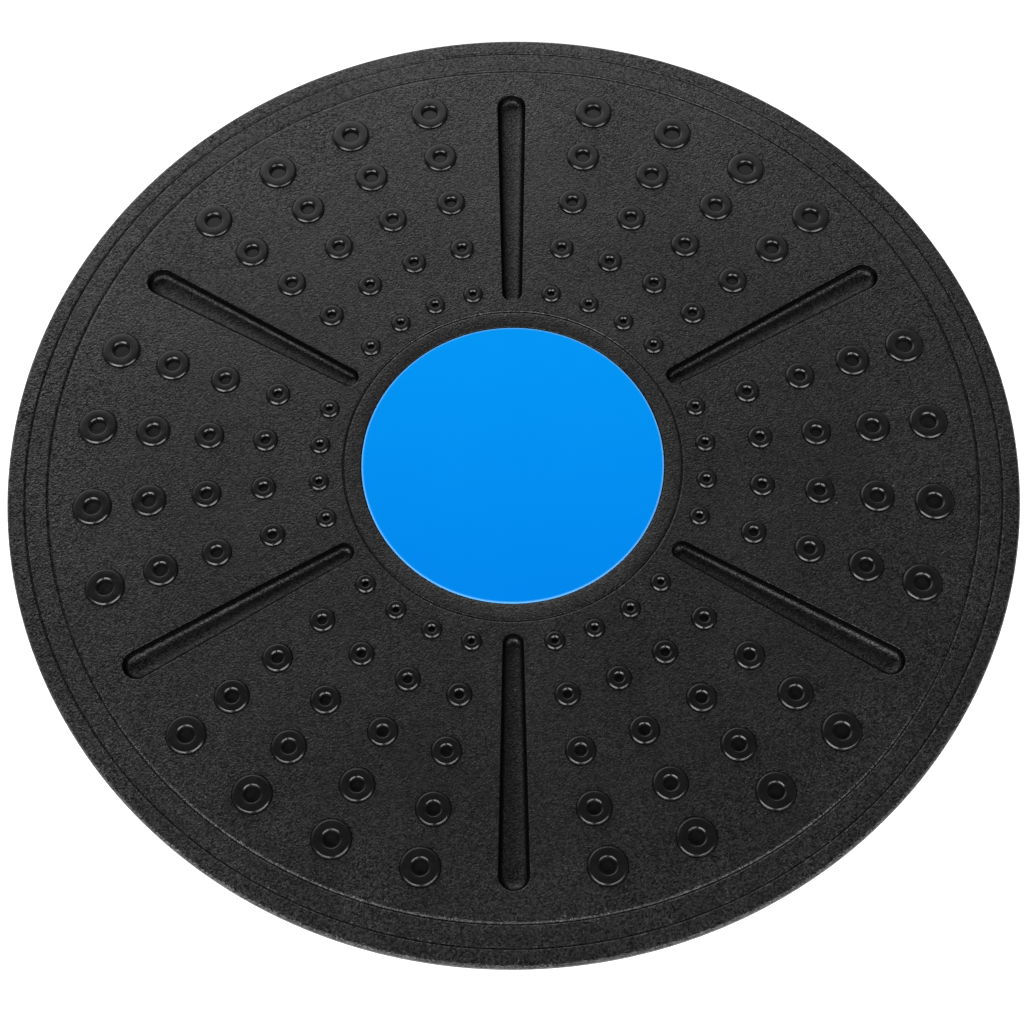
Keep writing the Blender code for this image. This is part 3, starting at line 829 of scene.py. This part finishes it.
def build_deck():
    """The moulding of plate, studs and grooves, with its troughs, ribs and bosses joined on."""
    skins = [
        grained_plastic("deck_grain", BLACK, 0.36),
        smooth_plastic("stud_plastic", BLACK, 0.25),
        satin_plastic("under_plastic", BLACK, 0.42),
    ]
    deck = deck_plate().object("deck_moulding", skins)
    join(deck, troughs(), "troughs", "UNION", skins[UNDERSIDE:])
    join(deck, ribs_and_bosses(), "ribs_and_bosses", "UNION", skins[UNDERSIDE:])
    smooth_shade(deck.data, SHARP_ANGLE)
    stand_for(deck, "deck_plastic", "deck")


def build_disc():
    """The flat blue inlay with a rounded edge."""
    edge = 0.4 * MM
    top = DISC_HIGH.z
    profile = [(DISC_RADIUS * share, top) for share in (0.3, 0.6, 0.85, 0.97)]
    profile += rounded((DISC_RADIUS - edge, top - edge), 90, 0, edge, 5)
    profile += [(DISC_RADIUS, DISC_LOW.z + edge), (DISC_RADIUS - edge, DISC_LOW.z)]
    disc = turned_object("blue_inlay", profile, blue_plastic("blue_plastic"))
    stand_for(disc, "disc_plastic", "centre_disc")


def build_dome():
    """The hollow dome, its seat for the pad, and its flange with six clearance holes."""
    seat_floor = DOME_LOW.z
    seat_edge = PAD_RADIUS + GAP
    foot = FLANGE_TOP - FLANGE_THICKNESS
    profile = sphere_arc(DOME_SEAT_SPHERE, radius_on_sphere(DOME_SEAT_SPHERE, seat_floor), seat_edge, 6)
    profile += sphere_arc(DOME_SPHERE, seat_edge, radius_on_sphere(DOME_SPHERE, foot - 1.5 * MM), 24)
    throat = radius_on_sphere(DOME_SPHERE, foot)
    profile += [(throat + 0.9 * MM, foot - 0.5 * MM), (throat + 2.4 * MM, foot)]
    low, high = FLANGE_FOOT_ROUND, FLANGE_TOP_ROUND
    profile += rounded((FLANGE_RADIUS - low, foot + low), -90, 0, low, 4)
    profile += rounded((FLANGE_RADIUS - high, FLANGE_TOP - high), 0, 90, high, 2)
    mouth = radius_on_sphere(DOME_INSIDE_SPHERE, FLANGE_TOP)
    floor = seat_floor + DOME_FLOOR
    profile += sphere_arc(DOME_INSIDE_SPHERE, radius_on_sphere(DOME_INSIDE_SPHERE, floor), mouth, 16)[::-1]
    plastic = satin_plastic("dome_plastic", BLACK, 0.36)
    dome = turned_object("dome_shell", profile, plastic)
    holes = Surface()
    for place in screw_places():
        levels = (foot - MM, FLANGE_TOP + MM)
        holes.closed_body([holes.loop(around(place, SCREW_SHANK_RADIUS + GAP, z, 24)) for z in levels])
    join(dome, holes, "flange_holes", "DIFFERENCE", [plastic])
    smooth_shade(dome.data, SHARP_ANGLE)
    stand_for(dome, "dome_plastic", "dome_base")


def tread_ring(radius):
    """(radius, inset from the sphere) points of one tread groove round the pad."""
    wall = [(1.0, 0.0), (0.85, 0.15), (0.7, 0.9), (0.5, 1.0)]
    section = [(-across, down) for across, down in wall] + wall[::-1]
    return [(radius + across * TREAD_HALF_WIDTH, down * TREAD_DEPTH) for across, down in section]


def build_pad():
    """The rubber cup, with tread rings beyond its flat."""
    profile = [(PAD_FLAT_RADIUS * share, PAD_LOW.z) for share in (0.3, 0.7, 0.97)]
    for number in range(TREAD_COUNT):
        for radius, inset in tread_ring(TREAD_FIRST_RADIUS + number * TREAD_PITCH):
            height = SPHERE_HEIGHT - math.sqrt(PAD_SPHERE**2 - radius**2)
            profile.append((radius, height + inset))
    rim = sphere_arc(PAD_SPHERE, PAD_RADIUS - 3 * MM, PAD_RADIUS - 0.4 * MM, 3)
    inner_sphere = DOME_SEAT_SPHERE + GAP
    top = SPHERE_HEIGHT - math.sqrt(inner_sphere**2 - PAD_RADIUS**2)
    profile += rim + [(PAD_RADIUS, rim[-1][1] + 0.5 * MM), (PAD_RADIUS, top)]
    floor = DOME_LOW.z - GAP
    profile += sphere_arc(inner_sphere, radius_on_sphere(inner_sphere, floor), PAD_RADIUS - 0.2 * MM, 6)[::-1]
    pad = turned_object("tread_pad", profile, rubber("pad_rubber"))
    stand_for(pad, "pad_rubber", "foot_pad")


def screw_mesh(low, high, material):
    """A pan-head screw pointing up, about its own axis, with a cross recess in its head."""
    seat = low.z + SCREW_HEAD_HEIGHT
    profile = [(SCREW_HEAD_RADIUS * 0.35, low.z), (SCREW_HEAD_RADIUS * 0.6, low.z + 0.08 * MM)]
    profile += [(SCREW_HEAD_RADIUS * 0.8, low.z + 0.35 * MM), (SCREW_HEAD_RADIUS * 0.93, low.z + 0.7 * MM)]
    profile += [(SCREW_HEAD_RADIUS, low.z + SCREW_HEAD_DOME), (SCREW_HEAD_RADIUS, seat - SCREW_HEAD_EDGE)]
    profile += [(SCREW_HEAD_RADIUS - SCREW_HEAD_EDGE, seat), (SCREW_SHANK_RADIUS, seat)]
    height = seat + SCREW_PITCH
    while height < high.z - 3 * SCREW_PITCH:
        profile += [(SCREW_SHANK_RADIUS * 0.76, height), (SCREW_SHANK_RADIUS, height + 0.5 * SCREW_PITCH)]
        height += SCREW_PITCH
    profile += [(SCREW_SHANK_RADIUS * 0.7, height), (0.4 * MM, high.z)]
    screw = turned_object("screw", profile, material, SCREW_SIDES, SCREW_SHARP_ANGLE)
    for bar in range(2):
        join(screw, cross_bar(bar * QUARTER_TURN, low.z), f"recess_{bar}", "DIFFERENCE", [material])
    smooth_shade(screw.data, SCREW_SHARP_ANGLE)
    return screw


def cross_bar(angle, head_foot):
    """One bar of the recess, narrowing towards its bottom."""
    slot = Surface()
    loops = []
    for height, length, width in ((-MM, 2.3 * MM, 0.62 * MM), (1.5 * MM, 1.5 * MM, 0.42 * MM)):
        along = polar(length, angle)
        sideways = polar(width, angle + QUARTER_TURN)
        lift = Vector((0, 0, head_foot + height))
        corners = (along + sideways, sideways - along, -along - sideways, along - sideways)
        loops.append(slot.loop([lift + corner for corner in corners]))
    slot.closed_body(loops)
    return slot


def build_screws():
    """Six copies of one screw, each turned a little further than the last."""
    low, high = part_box("dome_screw_1")
    first = screw_mesh(low, high, zinc_steel("zinc_steel"))
    for number, place in enumerate(screw_places(), start=1):
        screw = bpy.data.objects.new(f"screw_{number}", first.data.copy())
        turn = Matrix.Rotation(0.7 * number, 4, "Z")
        screw.data.transform(Matrix.Translation(place) @ turn)
        bpy.context.scene.collection.objects.link(screw)
        stand_for(screw, "screw_steel", f"dome_screw_{number}")
    bpy.data.objects.remove(first)


# ---------------------------------------------------------------- studio

def build_camera():
    """A camera in front of the board, looking down, slightly turned and rolled."""
    data = bpy.data.cameras.new("camera")
    data.lens = CAMERA_LENS
    data.sensor_width = CAMERA_SENSOR
    data.clip_start = 0.01
    data.clip_end = 50
    back = Vector((0, -math.cos(CAMERA_ELEVATION), math.sin(CAMERA_ELEVATION)))
    level = Vector((1, 0, 0))
    upward = back.cross(level)
    right = level * math.cos(CAMERA_ROLL) + upward * math.sin(CAMERA_ROLL)
    above = back.cross(right)
    placed = Matrix((right, above, back)).transposed().to_4x4()
    placed.translation = CAMERA_AIM + back * CAMERA_DISTANCE
    lift = Matrix.Translation((0, 0, deck_height(AIM_RING)))
    camera = bpy.data.objects.new("camera", data)
    camera.matrix_world = lift @ Matrix.Rotation(CAMERA_TURN, 4, "Z") @ placed
    bpy.context.scene.collection.objects.link(camera)
    bpy.context.scene.camera = camera


def aim_direction(azimuth, elevation):
    """Unit vector in degrees, azimuth counted from the camera's side, positive to the right."""
    turn, rise = math.radians(azimuth), math.radians(elevation)
    return Vector((math.sin(turn) * math.cos(rise), -math.cos(turn) * math.cos(rise), math.sin(rise)))


def add_softbox(name, azimuth, elevation, power):
    """A rectangular light turned towards the board."""
    data = bpy.data.lights.new(name, "AREA")
    data.shape = "RECTANGLE"
    data.size, data.size_y = BOX_SIZE
    data.energy = power
    light = bpy.data.objects.new(name, data)
    direction = aim_direction(azimuth, elevation)
    light.location = direction * BOX_DISTANCE
    light.rotation_euler = direction.to_track_quat("Z", "Y").to_euler()
    bpy.context.scene.collection.objects.link(light)


def build_world():
    """Dim all round, and brightest low behind the board."""
    world = bpy.data.worlds.new("studio")
    bpy.context.scene.world = world
    world.use_nodes = True
    tree = world.node_tree
    direction = add_node(tree, "ShaderNodeTexCoord").outputs["Generated"]
    level = WORLD_LEVEL
    for azimuth, elevation, edge, strength in GLOWS:
        towards = add_node(tree, "ShaderNodeVectorMath", operation="DOT_PRODUCT")
        tree.links.new(direction, towards.inputs[0])
        towards.inputs[1].default_value = aim_direction(azimuth, elevation)
        glow = ramp(tree, towards.outputs["Value"], edge, 1.0, 0.0, strength)
        level = maths(tree, "ADD", glow, level)
    tree.links.new(level, tree.nodes["Background"].inputs["Strength"])
    tree.nodes["Background"].inputs["Color"].default_value = (1.0, 1.0, 1.0, 1.0)


def build_floor():
    """A white floor that glows a little, so that it stays white under the dim world."""
    surface = Surface()
    corners = ((-1, -1), (1, -1), (1, 1), (-1, 1))
    surface.face(surface.loop([Vector((x, y, 0)) * FLOOR_HALF for x, y in corners]))
    material, tree, shader, place = start_material("floor_paint")
    tone = blend(tree, noise(tree, place, 0.4), (0.90, 0.90, 0.90, 1.0), (0.92, 0.92, 0.92, 1.0))
    tree.links.new(tone, shader.inputs["Base Color"])
    shader.inputs["Roughness"].default_value = 0.9
    shader.inputs["Emission Color"].default_value = (1.0, 1.0, 1.0, 1.0)
    shader.inputs["Emission Strength"].default_value = 0.75
    floor = surface.object("floor", [material])


def build_studio():
    build_world()
    build_floor()
    for box in BOXES:
        add_softbox(*box)
    bpy.context.scene.view_settings.view_transform = "Standard"


def main():
    build_deck()
    build_disc()
    build_dome()
    build_pad()
    build_screws()
    build_camera()
    build_studio()


main()
